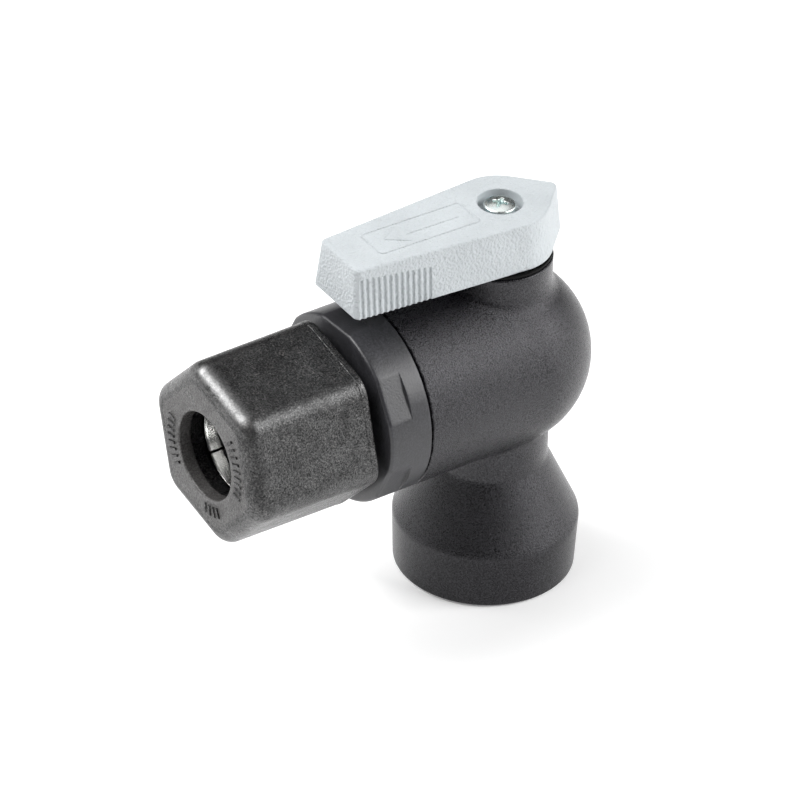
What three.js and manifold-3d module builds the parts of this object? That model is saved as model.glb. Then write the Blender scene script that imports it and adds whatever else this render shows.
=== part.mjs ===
// Angle ball valve: tube compression end on -X, female threaded socket on -Z.
// Millimetres, +Z up. Origin: the stem axis at the mouth plane of the socket.
// The barrel axis is parallel to X at height BARREL_Z.
import * as THREE from 'three';
import { mergeVertices } from 'three/addons/utils/BufferGeometryUtils.js';
import Module from 'manifold-3d';

const wasm = await Module();
wasm.setup();

// ---- driving dimensions --------------------------------------------------
const SEG = 32;                 // facets of the large round parts
const SMALL = 24;               // facets of the rings and seals
const THREAD = 16;              // facets of the threaded surfaces, in step with their ridges
const GAP = 0.3;                // gap between pieces that touch on the real valve

const BARREL_Z = 35.3;          // height of the barrel axis
const BARREL_R = 13.85;         // barrel, dome and connector flange
const SEAM_X = -20.0;           // joint between body and end connector
const SOCKET_R0 = 13.0;         // socket at its mouth
const SOCKET_R1 = 13.36;        // socket at its shoulder
const SOCKET_Z1 = 8.1;
const NECK_R = 8.43;
const NECK_Z = 18.26;
const BOSS_R = 7.82;
const BOSS_Z = 52.0;            // top of the stem boss

const CAVITY_R = 8.7;           // ball chamber
const CHAMBER_X = 5.1;          // half length of the ball chamber
const BODY_BORE_R = 10.5;       // bore that takes the connector's spigot
const POCKET_R = 7.9;           // seat pockets
const POCKET_X = 9.2;
const FLOW_R = 4.8;             // waterway

const BALL_R = 8.2;
const BALL_BORE_R = 4.6;
const SEAT_GAP_R = 8.45;        // radius of the seats' ball face

const STEM_R = 3.8;
const STEM_HOLE_R = 3.88;
const COLLAR_R = 4.9;
const COLLAR_HOLE_R = 5.2;
const SQUARE = 5.0;             // stem square across flats

const PIPE_PITCH = 1.814;       // 14 threads per inch
const PIPE_MAJOR_R = 10.6;      // root of the socket's thread at its mouth
const PIPE_MINOR_R = 9.55;
const PIPE_TAPER = 1 / 32;      // radius change per unit length
const PIPE_DEPTH = 11.6;

const FLANGE_FRONT_X = -27.0;   // front face of the connector's flange
const FLAT_X = -23.2;           // inner end of the wrench flats
const FLAT_APOTHEM = 13.44;
const FLAT_ANGLE = 147.2;       // first flat's direction, from +Y towards +Z
const TIP_X = -39.4;            // front end of the threaded barrel
const TUBE_R = 6.45;            // socket for a tube of 12.7 mm
const TUBE_STOP_X = -28.5;
const NUT_PITCH = 1.814;
const MALE_ROOT_R = 9.4;
const MALE_CREST_R = 10.25;
const FEMALE_ROOT_R = 10.65;
const FEMALE_CREST_R = 9.7;

const NUT_FRONT_X = -48.7;
const NUT_BACK_X = -28.6;
const NUT_APOTHEM_FRONT = 12.09;
const NUT_APOTHEM_BACK = 12.24;
const NUT_CORNER_R = 3.5;
const NUT_EDGE_R = 2.4;         // rounding round the front face
const NUT_ANGLE = -17.3;        // one flat's direction, from +Y towards +Z

const HANDLE_TOP_Z = 60.2;
const HANDLE_BOTTOM_Z = 52.63;
const HANDLE_TURN = -1.64;      // degrees about Z
const GROOVE_COUNT = 13;
const GROOVE_PITCH = 0.89;

const HEAD_R = 2.3;
const HEAD_BASE_Z = 58.45;
const HEAD_TOP_Z = 60.15;
const SHANK_R = 1.25;
const RECESS_R = 3.2;
const RECESS_FLOOR_Z = 58.15;

// ---- colours -------------------------------------------------------------
const look = {
  body: [0x2c2c2e, 0.55, 0],
  connector: [0x2e2e30, 0.45, 0],
  nut: [0x262628, 0.6, 0],
  handle: [0xd6dadc, 0.6, 0],
  zinc: [0xb9c6c8, 0.25, 1],
  stainless: [0xcfcfd0, 0.15, 1],
  disc: [0x0e0e0f, 0.4, 0],
  ball: [0x3a3a3d, 0.35, 0],
  stem: [0x1c1c1e, 0.45, 0],
  seat: [0xf0efe8, 0.5, 0],
  washer: [0xe8e6dc, 0.5, 0],
  rubber: [0x151515, 0.8, 0],
  spacer: [0x1f1f21, 0.5, 0],
};

// ---- helpers -------------------------------------------------------------
const rad = (d) => (d * Math.PI) / 180;

// A closed geometry becomes a solid: shared vertices merged, collapsed facets
// dropped, faces turned outwards.
function solid(geometry) {
  for (const name of Object.keys(geometry.attributes)) {
    if (name !== 'position') geometry.deleteAttribute(name);
  }
  const g = mergeVertices(geometry, 1e-4);
  const p = g.attributes.position.array;
  const idx = g.index.array;
  const tri = [];
  let volume = 0;
  for (let i = 0; i < idx.length; i += 3) {
    const a = idx[i], b = idx[i + 1], c = idx[i + 2];
    if (a === b || b === c || a === c) continue;
    tri.push(a, b, c);
    volume +=
      p[3 * a] * (p[3 * b + 1] * p[3 * c + 2] - p[3 * b + 2] * p[3 * c + 1]) -
      p[3 * a + 1] * (p[3 * b] * p[3 * c + 2] - p[3 * b + 2] * p[3 * c]) +
      p[3 * a + 2] * (p[3 * b] * p[3 * c + 1] - p[3 * b + 1] * p[3 * c]);
  }
  if (volume < 0) {
    for (let i = 0; i < tri.length; i += 3) [tri[i + 1], tri[i + 2]] = [tri[i + 2], tri[i + 1]];
  }
  return new wasm.Manifold(new wasm.Mesh({
    numProp: 3,
    vertProperties: Float32Array.from(p),
    triVerts: Uint32Array.from(tri),
  }));
}

// Solid of revolution about Z. The profile is [radius, z] pairs.
function turnZ(profile, seg = SEG) {
  const g = new THREE.LatheGeometry(profile.map(([r, h]) => new THREE.Vector2(r, h)), seg);
  g.rotateX(Math.PI / 2);
  return solid(g);
}

// Solid of revolution about the barrel axis. The profile is [radius, x] pairs.
function turnX(profile, seg = SEG) {
  const g = new THREE.LatheGeometry(profile.map(([r, h]) => new THREE.Vector2(r, h)), seg);
  g.rotateZ(-Math.PI / 2);
  g.translate(0, 0, BARREL_Z);
  return solid(g);
}

function box(x0, x1, y0, y1, z0, z1, turn = 0) {
  const g = new THREE.BoxGeometry(x1 - x0, y1 - y0, z1 - z0);
  g.translate((x0 + x1) / 2, (y0 + y1) / 2, (z0 + z1) / 2);
  if (turn) g.rotateZ(rad(turn));
  return solid(g);
}

function ringProfile(radius, minor, at, steps = 8) {
  const pts = [];
  for (let i = 0; i <= steps; i++) {
    const a = (2 * Math.PI * (i % steps)) / steps;
    pts.push([radius + minor * Math.cos(a), at + minor * Math.sin(a)]);
  }
  return pts;
}

// Closed solid from rings of points, one ring per station, all of one length.
function loft(rings) {
  const n = rings[0].length;
  const pos = [];
  for (const ring of rings) for (const p of ring) pos.push(...p);
  const mid = (ring) => [0, 1, 2].map((k) => ring.reduce((s, p) => s + p[k], 0) / n);
  const first = pos.length / 3;
  pos.push(...mid(rings[0]), ...mid(rings[rings.length - 1]));
  const idx = [];
  for (let s = 0; s + 1 < rings.length; s++) {
    for (let i = 0; i < n; i++) {
      const a = s * n + i, b = s * n + ((i + 1) % n), c = a + n, d = b + n;
      idx.push(a, b, d, a, d, c);
    }
  }
  const last = (rings.length - 1) * n;
  for (let i = 0; i < n; i++) {
    const j = (i + 1) % n;
    idx.push(first, j, i, first + 1, last + i, last + j);
  }
  const g = new THREE.BufferGeometry();
  g.setAttribute('position', new THREE.Float32BufferAttribute(pos, 3));
  g.setIndex(idx);
  return solid(g);
}

// Right-hand helical ridge about an axis. (u, v) are the two directions across
// the axis and w the axis direction, so that u x v = w. The section is a
// trapezoid from rootR to crestR; the ridge fades out at both ends.
function helix({ at, u, v, w, start, length, pitch, rootR, crestR, rootHalf, crestHalf, taper = 0, seg = THREAD, phase = 0 }) {
  const steps = Math.round((length / pitch) * seg);
  const rings = [];
  for (let i = 0; i <= steps; i++) {
    const turn = (2 * Math.PI * i) / seg;
    const h = start + (pitch * i) / seg;
    const fade = Math.min(1, (i + 0.5) / (seg / 3), (steps - i + 0.5) / (seg / 3));
    const rr = rootR + taper * (h - start);
    const cr = rr + (crestR - rootR) * (0.25 + 0.75 * fade);
    const ring = [[rr, -rootHalf], [cr, -crestHalf], [cr, crestHalf], [rr, rootHalf]];
    const a = turn + phase;
    rings.push(ring.map(([r, dh]) => [0, 1, 2].map((k) =>
      at[k] + u[k] * r * Math.cos(a) + v[k] * r * Math.sin(a) + w[k] * (h + dh))));
  }
  return loft(rings);
}

function sector(r0, r1, a0, a1, z0, z1) {
  const s = new THREE.Shape();
  s.absarc(0, 0, r1, rad(a0), rad(a1), false);
  s.absarc(0, 0, r0, rad(a1), rad(a0), true);
  s.closePath();
  const g = new THREE.ExtrudeGeometry(s, { depth: z1 - z0, bevelEnabled: false, curveSegments: 8 });
  g.translate(0, 0, z0);
  return solid(g);
}

const root = new THREE.Group();

function add(name, body, [color, roughness, metalness], parent = root) {
  const m = body.getMesh();
  const g = new THREE.BufferGeometry();
  g.setAttribute('position', new THREE.BufferAttribute(Float32Array.from(m.vertProperties), 3));
  g.setIndex(new THREE.BufferAttribute(Uint32Array.from(m.triVerts), 1));
  g.computeVertexNormals();
  const mesh = new THREE.Mesh(g, new THREE.MeshStandardMaterial({ color, roughness, metalness }));
  mesh.name = name;
  parent.add(mesh);
  return mesh;
}

// ---- valve body ----------------------------------------------------------
{
  const dome = [];
  for (let i = 0; i <= 8; i++) {
    const a = (i * Math.PI) / 16;
    dome.push([i === 8 ? 0 : BARREL_R * Math.cos(a), BARREL_R * Math.sin(a)]);
  }
  let s = turnX([[0, SEAM_X], [BARREL_R, SEAM_X], ...dome]);
  // socket, flare and neck; a small fillet ring joins the neck and the barrel
  s = s.add(turnZ([
    [0, 0], [SOCKET_R0 - 0.3, 0], [SOCKET_R0, 0.3], [SOCKET_R1, SOCKET_Z1],
    [NECK_R, NECK_Z], [NECK_R, 32], [0, 32],
  ]));
  s = s.add(turnZ([[0, 40], [BOSS_R, 40], [BOSS_R, BOSS_Z - 0.2], [BOSS_R - 0.2, BOSS_Z], [0, BOSS_Z]]));
  // ball chamber, rear seat pocket and the bore for the connector's spigot
  s = s.subtract(turnX([
    [0, SEAM_X - 1], [BODY_BORE_R, SEAM_X - 1], [BODY_BORE_R, -CHAMBER_X], [CAVITY_R, -CHAMBER_X],
    [CAVITY_R, CHAMBER_X], [POCKET_R, CHAMBER_X], [POCKET_R, POCKET_X], [0, POCKET_X],
  ]));
  // stem hole with its shoulder
  s = s.subtract(turnZ([
    [0, 37], [COLLAR_HOLE_R, 37], [COLLAR_HOLE_R, 46.4], [STEM_HOLE_R, 46.4], [STEM_HOLE_R, 54], [0, 54],
  ]));
  // waterway and threaded socket
  const root1 = PIPE_MAJOR_R - PIPE_DEPTH * PIPE_TAPER;
  s = s.subtract(turnZ([
    [0, -1], [PIPE_MAJOR_R + 0.6, -1], [PIPE_MAJOR_R + 0.6, 0], [PIPE_MAJOR_R - 0.02, 0.6], [root1, PIPE_DEPTH],
    [9.0, 12.2], [FLOW_R, 14.4], [FLOW_R, 33], [0, 33],
  ], THREAD));
  s = s.add(helix({
    at: [0, 0, 0], u: [1, 0, 0], v: [0, 1, 0], w: [0, 0, 1], start: 1.3, length: 9.3, pitch: PIPE_PITCH,
    rootR: PIPE_MAJOR_R + 0.25, crestR: PIPE_MINOR_R, rootHalf: 0.8, crestHalf: 0.18, taper: -PIPE_TAPER,
  }));
  // stop lug on the boss
  s = s.add(sector(4.75, 5.7, -53, -33, BOSS_Z - 0.4, 54.2));
  add('valve_body', s, look.body);
}

// ---- end connector -------------------------------------------------------
{
  let s = turnX([
    [0, FLANGE_FRONT_X], [BARREL_R - 0.5, FLANGE_FRONT_X], [BARREL_R - 0.14, FLANGE_FRONT_X + 0.14], [BARREL_R, FLANGE_FRONT_X + 0.5],
    [BARREL_R, SEAM_X - GAP], [BODY_BORE_R - GAP, SEAM_X - GAP], [BODY_BORE_R - GAP, -CHAMBER_X - GAP], [0, -CHAMBER_X - GAP],
  ]);
  s = s.add(turnX([
    [0, TIP_X], [MALE_ROOT_R - 0.3, TIP_X], [MALE_ROOT_R, TIP_X + 0.3], [MALE_ROOT_R, FLANGE_FRONT_X + 1], [0, FLANGE_FRONT_X + 1],
  ], THREAD));
  for (let k = 0; k < 6; k++) {
    const g = new THREE.BoxGeometry(FLAT_X - FLANGE_FRONT_X + 2, 3, 10);
    g.translate((FLAT_X + FLANGE_FRONT_X - 2) / 2, FLAT_APOTHEM + 1.5, 0);
    g.rotateX(rad(FLAT_ANGLE + 60 * k));
    g.translate(0, 0, BARREL_Z);
    s = s.subtract(solid(g));
  }
  s = s.add(helix({
    at: [0, 0, BARREL_Z], u: [0, 1, 0], v: [0, 0, 1], w: [1, 0, 0], start: -38.6, length: 8.2, pitch: NUT_PITCH,
    rootR: MALE_ROOT_R - 0.25, crestR: MALE_CREST_R, rootHalf: 0.66, crestHalf: 0.22,
  }));
  // O-ring counterbore, tube socket, waterway and front seat pocket
  s = s.subtract(turnX([
    [0, TIP_X - 1], [8.65, TIP_X - 1], [8.65, -34.9], [TUBE_R, -34.9], [TUBE_R, TUBE_STOP_X], [FLOW_R, TUBE_STOP_X],
    [FLOW_R, -POCKET_X], [POCKET_R, -POCKET_X], [POCKET_R, -4], [0, -4],
  ]));
  s = s.subtract(turnX([[8.75, -16.95], [12, -16.95], [12, -15.05], [8.75, -15.05], [8.75, -16.95]]));
  add('end_connector', s, look.connector);
}
add('connector_o_ring', turnX(ringProfile(9.7, 0.65, -16), SMALL), look.rubber);

// ---- compression nut and what it holds -----------------------------------
function hexRing(apothem, corner, x) {
  const ring = [];
  const reach = (apothem - corner) / Math.cos(Math.PI / 6);
  for (let k = 0; k < 6; k++) {
    const mid = NUT_ANGLE + 30 + 60 * k;
    const cy = reach * Math.cos(rad(mid)), cz = reach * Math.sin(rad(mid));
    for (let j = 0; j <= 4; j++) {
      const a = rad(mid - 30 + 15 * j);
      ring.push([x, cy + corner * Math.cos(a), BARREL_Z + cz + corner * Math.sin(a)]);
    }
  }
  return ring;
}
{
  const stations = [];
  const taper = (x) => NUT_APOTHEM_FRONT + ((NUT_APOTHEM_BACK - NUT_APOTHEM_FRONT) * (x - NUT_FRONT_X)) / (NUT_BACK_X - NUT_FRONT_X);
  for (let i = 0; i <= 5; i++) {
    const a = (i * Math.PI) / 10;
    const inset = NUT_EDGE_R * (1 - Math.sin(a));
    const x = NUT_FRONT_X + NUT_EDGE_R * (1 - Math.cos(a));
    stations.push([x, taper(x) - inset, NUT_CORNER_R - 0.55 * inset]);
  }
  stations.push([NUT_BACK_X - 0.4, NUT_APOTHEM_BACK, NUT_CORNER_R]);
  stations.push([NUT_BACK_X, NUT_APOTHEM_BACK - 0.4, NUT_CORNER_R - 0.2]);
  let s = loft(stations.map(([x, a, c]) => hexRing(a, c, x)));
  s = s.subtract(turnX([
    [0, NUT_FRONT_X - 1], [TUBE_R + 0.25, NUT_FRONT_X - 1], [TUBE_R + 0.25, NUT_FRONT_X], [TUBE_R, NUT_FRONT_X + 0.25],
    [TUBE_R, -46.6], [6.8, -46.6], [6.8, -44.5], [7.4, -44.5], [9.0, -41.6], [9.0, -40.0], [0, -40.0],
  ]));
  s = s.subtract(turnX([
    [0, -41.6], [9.0, -41.6], [FEMALE_ROOT_R, -40.7],
    [FEMALE_ROOT_R, NUT_BACK_X - 0.5], [FEMALE_ROOT_R + 0.5, NUT_BACK_X], [FEMALE_ROOT_R + 0.5, NUT_BACK_X + 1], [0, NUT_BACK_X + 1],
  ], THREAD));
  s = s.add(helix({
    at: [0, 0, BARREL_Z], u: [0, 1, 0], v: [0, 0, 1], w: [1, 0, 0],
    start: -38.6 + 0.5 * NUT_PITCH - NUT_PITCH, length: 8.4, pitch: NUT_PITCH,
    rootR: FEMALE_ROOT_R + 0.25, crestR: FEMALE_CREST_R, rootHalf: 0.56, crestHalf: 0.18,
  }));
  add('compression_nut', s, look.nut);
}
{
  // split ring of sheet steel: a band that opens towards the mouth, with a turned-out foot and one gap
  let s = turnX([
    [6.9, -44.1], [7.1, -44.1], [7.1, -41.75], [8.55, -41.75], [8.55, -41.2], [6.5, -41.2], [6.5, -42.3], [6.9, -44.1],
  ]);
  const g = new THREE.BoxGeometry(6, 6, 0.4);
  g.translate(-42.6, 8, 0);
  g.rotateX(rad(-39));
  g.translate(0, 0, BARREL_Z);
  s = s.subtract(solid(g));
  add('grab_ring', s, look.stainless);
}
add('spacer', turnX([[6.55, -40.9], [8.3, -40.9], [8.3, -38.6], [6.55, -38.6], [6.55, -40.9]], SMALL), look.spacer);
add('tube_o_ring', turnX(ringProfile(7.45, 0.9, -36.1), SMALL), look.rubber);

// ---- seats ---------------------------------------------------------------
function seat(side) {
  const p = [];
  for (const r of [4.9, 5.7, 6.5]) p.push([r, side * Math.sqrt(SEAT_GAP_R ** 2 - r ** 2)]);
  const face = Math.sqrt(SEAT_GAP_R ** 2 - 6.5 ** 2);
  p.push([7.6, side * face], [7.6, side * 7.4], [5.95, side * 7.4], [5.95, side * 8.9], [4.9, side * 8.9], p[0]);
  return turnX(p, SMALL);
}
add('front_seat', seat(-1), look.seat);
add('rear_seat', seat(1), look.seat);
add('front_seat_o_ring', turnX(ringProfile(6.85, 0.6, -8.3), SMALL), look.rubber);
add('rear_seat_o_ring', turnX(ringProfile(6.85, 0.6, 8.3), SMALL), look.rubber);

// ---- ball ----------------------------------------------------------------
{
  const half = [];
  for (let i = 0; i <= 16; i++) {
    const a = -Math.PI / 2 + (i * Math.PI) / 16;
    half.push([i === 0 || i === 16 ? 0 : BALL_R * Math.cos(a), BARREL_Z + BALL_R * Math.sin(a)]);
  }
  let s = turnZ(half);
  s = s.subtract(turnX([[0, -10], [BALL_BORE_R, -10], [BALL_BORE_R, 0], [0, 0]], SMALL));
  s = s.subtract(turnZ([[0, 25], [BALL_BORE_R, 25], [BALL_BORE_R, BARREL_Z], [0, BARREL_Z]], SMALL));
  const elbow = new THREE.SphereGeometry(BALL_BORE_R, SMALL, 12);
  elbow.translate(0, 0, BARREL_Z);
  s = s.subtract(solid(elbow));
  s = s.subtract(box(-10, 10, -1.6, 1.6, 41.0, 46));
  add('ball', s, look.ball);
}

// ---- stem ----------------------------------------------------------------
{
  let s = turnZ([
    [0, 43.85], [COLLAR_R, 43.85], [COLLAR_R, 45.5], [STEM_R, 45.5], [STEM_R, 47.3], [2.3, 47.3], [2.3, 48.8],
    [STEM_R, 48.8], [STEM_R, 49.5], [2.3, 49.5], [2.3, 51.0], [STEM_R, 51.0], [STEM_R, 52.0], [0, 52.0],
  ]);
  s = s.add(box(-3.5, 3.5, -1.3, 1.3, 41.3, 44.2));
  s = s.add(box(-SQUARE / 2, SQUARE / 2, -SQUARE / 2, SQUARE / 2, 51.6, 56.9, HANDLE_TURN));
  s = s.subtract(turnZ([[0, 50.4], [SHANK_R + GAP, 50.4], [SHANK_R + GAP, 58], [0, 58]], THREAD));
  add('stem', s, look.stem);
}
add('stem_thrust_washer', turnZ([[4.1, 45.75], [4.95, 45.75], [4.95, 46.15], [4.1, 46.15], [4.1, 45.75]], SMALL), look.washer);
add('lower_stem_o_ring', turnZ(ringProfile(3.2, 0.6, 48.05), SMALL), look.rubber);
add('upper_stem_o_ring', turnZ(ringProfile(3.2, 0.6, 50.25), SMALL), look.rubber);

// ---- lever: its own frame, turned a little about the stem ----------------
const lever = new THREE.Group();
lever.rotation.z = rad(HANDLE_TURN);
root.add(lever);

// Half outline from the nose tip to the grip end, mirrored to a ring. hubR and
// hubX give the round shoulder, endX and endY the grip's corner.
function leverRing(hubR, hubX, endX, endY, z, inset = 0) {
  const R = hubR - inset, X = hubX, ex = endX + inset, ey = endY - inset;
  const tip = X + R * Math.SQRT2;
  const cut = 0.55;
  const half = [[tip - cut, 0], [tip - cut * 1.25, cut * 0.85]];
  const L = Math.hypot(X - ex, ey);
  const dir = Math.atan2(-ey, X - ex) + Math.asin(R / L);
  const shoulder = Math.PI / 2 + dir;
  for (let i = 0; i <= 6; i++) {
    const a = Math.PI / 4 + ((shoulder - Math.PI / 4) * i) / 6;
    half.push([X + R * Math.cos(a), R * Math.sin(a)]);
  }
  const back = 0.8;
  half.push([ex + back * Math.cos(dir), ey + back * Math.sin(dir)]);
  half.push([ex + 0.22, ey - 0.2]);
  half.push([ex, ey - 0.8]);
  const ring = half.map(([x, y]) => [x, y, z]);
  for (let i = half.length - 1; i > 0; i--) ring.push([half[i][0], -half[i][1], z]);
  return ring;
}
{
  const at = (t, z, inset) => leverRing(7.11 - 0.27 * t, 0.7 * (1 - t), -27.08 + 0.31 * t, 5.6 - 0.97 * t, z, inset);
  let s = loft([
    at(0, HANDLE_BOTTOM_Z, 0.12),
    at(0.02, HANDLE_BOTTOM_Z + 0.15, 0),
    at(0.93, HANDLE_TOP_Z - 0.5, 0),
    at(0.97, HANDLE_TOP_Z - 0.16, 0.12),
    at(1, HANDLE_TOP_Z, 0.45),
  ]);
  // grip grooves on both sides, following the sides' draft
  const sideY = (t, x) => {
    const R = 7.11 - 0.27 * t, X = 0.7 * (1 - t), ex = -27.08 + 0.31 * t, ey = 5.6 - 0.97 * t;
    const dir = Math.atan2(-ey, X - ex) + Math.asin(R / Math.hypot(X - ex, ey));
    return ey + Math.tan(dir) * (x - ex);
  };
  for (let i = 0; i < GROOVE_COUNT; i++) {
    for (const side of [-1, 1]) {
      const x = -26.1 + GROOVE_PITCH * i;
      const top = 58.7 - 0.9 * (i / (GROOVE_COUNT - 1));
      const ring = (z, r) => Array.from({ length: 4 }, (_, k) => {
        const a = (k * Math.PI) / 2;
        const y = sideY((z - HANDLE_BOTTOM_Z) / (HANDLE_TOP_Z - HANDLE_BOTTOM_Z), x);
        return [x + r * Math.sin(a), side * (y + r * Math.cos(a)), z];
      });
      s = s.subtract(loft([ring(52, 0.3), ring(top, 0.3)]));
    }
  }
  // cored underside: two rows of cells between a centre rib and cross ribs
  for (const [x0, x1] of [[-25.6, -20.0], [-19.0, -13.4], [-12.4, -6.8]]) {
    for (const side of [-1, 1]) {
      const w0 = 3.7 + 0.07 * (x0 + 26), w1 = 3.7 + 0.07 * (x1 + 26);
      const ring = (z, d) => [
        [x0 + d, side * 0.5, z], [x1 - d, side * 0.5, z], [x1 - d, side * (w1 - d), z], [x0 + d, side * (w0 - d), z],
      ];
      s = s.subtract(loft([ring(HANDLE_BOTTOM_Z - 1, 0), ring(58.3, 0.25)]));
    }
  }
  // square socket, screw hole, head recess and the slot for the stop lug
  s = s.subtract(box(-2.75, 2.75, -2.75, 2.75, 50, 57.15));
  s = s.subtract(turnZ([[0, 56], [1.55, 56], [1.55, RECESS_FLOOR_Z], [RECESS_R, RECESS_FLOOR_Z], [RECESS_R, 62], [0, 62]], SMALL));
  s = s.subtract(sector(4.4, 6.05, -57 - HANDLE_TURN, 61 - HANDLE_TURN, 50, 54.6));
  add('handle', s, look.handle, lever);
}
{
  let s = turnZ([[0, 52.1], [BOSS_R, 52.1], [BOSS_R, 52.45], [0, 52.45]]);
  s = s.subtract(box(-2.75, 2.75, -2.75, 2.75, 51, 54));
  s = s.subtract(sector(4.4, 6.05, -57 - HANDLE_TURN, 61 - HANDLE_TURN, 51, 54));
  add('stop_disc', s, look.disc, lever);
}
{
  const dome = [];
  const edge = HEAD_TOP_Z - 0.75;
  for (let i = 0; i <= 4; i++) {
    const a = (i * Math.PI) / 8;
    dome.push([i === 4 ? 0 : HEAD_R * Math.cos(a), edge + 0.75 * Math.sin(a)]);
  }
  let s = turnZ([[0, 51.0], [SHANK_R - 0.35, 51.0], [SHANK_R, 51.6], [SHANK_R, HEAD_BASE_Z], [HEAD_R, HEAD_BASE_Z], ...dome], THREAD);
  for (const turn of [38, 128]) {
    s = s.subtract(box(-1.2, 1.2, -0.24, 0.24, 59.2, 61, turn));
  }
  add('handle_screw', s, look.zinc, lever);
}

export default root;
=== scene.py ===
import math

import bpy
import numpy as np
from mathutils import Matrix, Vector


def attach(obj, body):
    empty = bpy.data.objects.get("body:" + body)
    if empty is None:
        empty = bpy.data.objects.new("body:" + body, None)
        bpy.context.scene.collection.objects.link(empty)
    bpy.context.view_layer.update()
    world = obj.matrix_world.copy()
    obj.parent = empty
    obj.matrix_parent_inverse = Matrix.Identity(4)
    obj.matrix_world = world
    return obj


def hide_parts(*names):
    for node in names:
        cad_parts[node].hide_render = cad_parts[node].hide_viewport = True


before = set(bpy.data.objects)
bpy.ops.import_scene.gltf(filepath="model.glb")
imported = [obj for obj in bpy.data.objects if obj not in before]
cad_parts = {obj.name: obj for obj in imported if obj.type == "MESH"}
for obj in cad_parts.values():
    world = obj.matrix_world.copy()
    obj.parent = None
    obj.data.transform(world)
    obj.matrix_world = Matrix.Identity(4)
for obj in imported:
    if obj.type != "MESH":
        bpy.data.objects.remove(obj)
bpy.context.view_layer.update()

# ---- dimensions, in millimetres, in the row frame --------------------------
H = 35.3                      # barrel axis height
R_BARREL = 13.85
SEAM = -20.0
BOSS_R, BOSS_Z = 7.82, 52.0
NUT_A, NUT_B = -48.7, -28.6   # nut front and back
PITCH = 1.814
FLANGE_X = -27.0
HANDLE_TOP, HANDLE_BOT, HANDLE_TURN = 60.2, 52.63, -1.64
RNG = np.random.default_rng(7)


# ---- camera -----------------------------------------------------------------
def make_camera():
    az, el, roll = math.radians(-36.19), math.radians(34.9), math.radians(2.27)
    dist, f_px, tx, tz = 1000.0, 7159.14, -15.83, 32.49
    back = Vector((math.sin(az) * math.cos(el), -math.cos(az) * math.cos(el), math.sin(el)))
    fwd = -back
    right = fwd.cross(Vector((0, 0, 1))).normalized()
    up = right.cross(fwd)
    c, s = math.cos(roll), math.sin(roll)
    right, up = c * right + s * up, -s * right + c * up
    place = (Vector((tx, 0, tz)) + back * dist) * 0.001
    data = bpy.data.cameras.new("camera")
    data.sensor_width = 36.0
    data.lens = f_px * 36.0 / 800.0
    data.clip_start, data.clip_end = 0.05, 20.0
    cam = bpy.data.objects.new("camera", data)
    bpy.context.scene.collection.objects.link(cam)
    m = Matrix.Identity(4)
    for i in range(3):
        m[i][0], m[i][1], m[i][2], m[i][3] = right[i], up[i], back[i], place[i]
    cam.matrix_world = m
    bpy.context.scene.camera = cam


make_camera()


# ---- mesh tools ---------------------------------------------------------------
def make(name, verts, faces, material, body, node=None, smooth_angle=None):
    """A piece from points in mm and a list or array of faces."""
    me = bpy.data.meshes.new(name)
    verts = np.asarray(verts, float) * 0.001
    if isinstance(faces, np.ndarray):
        n, k = faces.shape
        me.vertices.add(len(verts))
        me.vertices.foreach_set("co", verts.astype(np.float32).ravel())
        me.loops.add(n * k)
        me.loops.foreach_set("vertex_index", faces.astype(np.int32).ravel())
        me.polygons.add(n)
        me.polygons.foreach_set("loop_start", np.arange(0, n * k, k, dtype=np.int32))
        me.polygons.foreach_set("loop_total", np.full(n, k, np.int32))
        me.update(calc_edges=True)
        me.validate()
    else:
        me.from_pydata([tuple(v) for v in verts], [], faces)
        me.update()
    me.shade_smooth()
    if smooth_angle is not None:
        me.set_sharp_from_angle(angle=math.radians(smooth_angle))
    ob = bpy.data.objects.new(name, me)
    bpy.context.scene.collection.objects.link(ob)
    me.materials.append(material)
    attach(ob, body)
    if node:
        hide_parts(node)
    return ob


def points_of(ob):
    """The piece's vertices in mm."""
    co = np.empty(3 * len(ob.data.vertices))
    ob.data.vertices.foreach_get("co", co)
    return co.reshape(-1, 3) * 1000.0


def mark(ob, name, values):
    """A number at each vertex that a material can read."""
    at = ob.data.attributes.new(name, "FLOAT", "POINT")
    full = np.zeros(len(ob.data.vertices), np.float32)
    full[:len(values)] = values
    at.data.foreach_set("value", full)


def axis_points(axis, r, t, a):
    """Points from radius r, angle a and place t along the axis. "x" is the barrel axis, with angles from +Y
    towards +Z, and "z" the stem axis, with angles from +X towards +Y."""
    if axis == "x":
        return np.stack([t, r * np.cos(a), H + r * np.sin(a)], -1)
    return np.stack([r * np.cos(a), r * np.sin(a), t], -1)


def wrap_mesh(points, close_ring=True, close_profile=True):
    """Quads over a grid of points [station, angle]."""
    m, n = points.shape[:2]
    idx = np.arange(m * n).reshape(m, n)
    i0 = idx if close_profile else idx[:-1]
    i1 = np.roll(idx, -1, 0) if close_profile else idx[1:]
    j0 = lambda q: q if close_ring else q[:, :-1]
    j1 = lambda q: np.roll(q, -1, 1) if close_ring else q[:, 1:]
    f = np.stack([j0(i0), j1(i0), j1(i1), j0(i1)], -1).reshape(-1, 4)
    return points.reshape(-1, 3), f


def outward(verts, faces):
    """Turns the faces of a closed mesh outwards."""
    v = np.asarray(verts, float)
    tri = np.concatenate([faces[:, [0, 1, 2]], faces[:, [0, 2, 3]]]) if faces.shape[1] == 4 else faces
    a, b, c = v[tri[:, 0]], v[tri[:, 1]], v[tri[:, 2]]
    vol = np.einsum("ij,ij->i", a, np.cross(b, c)).sum()
    return faces[:, ::-1] if vol < 0 else faces


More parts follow.
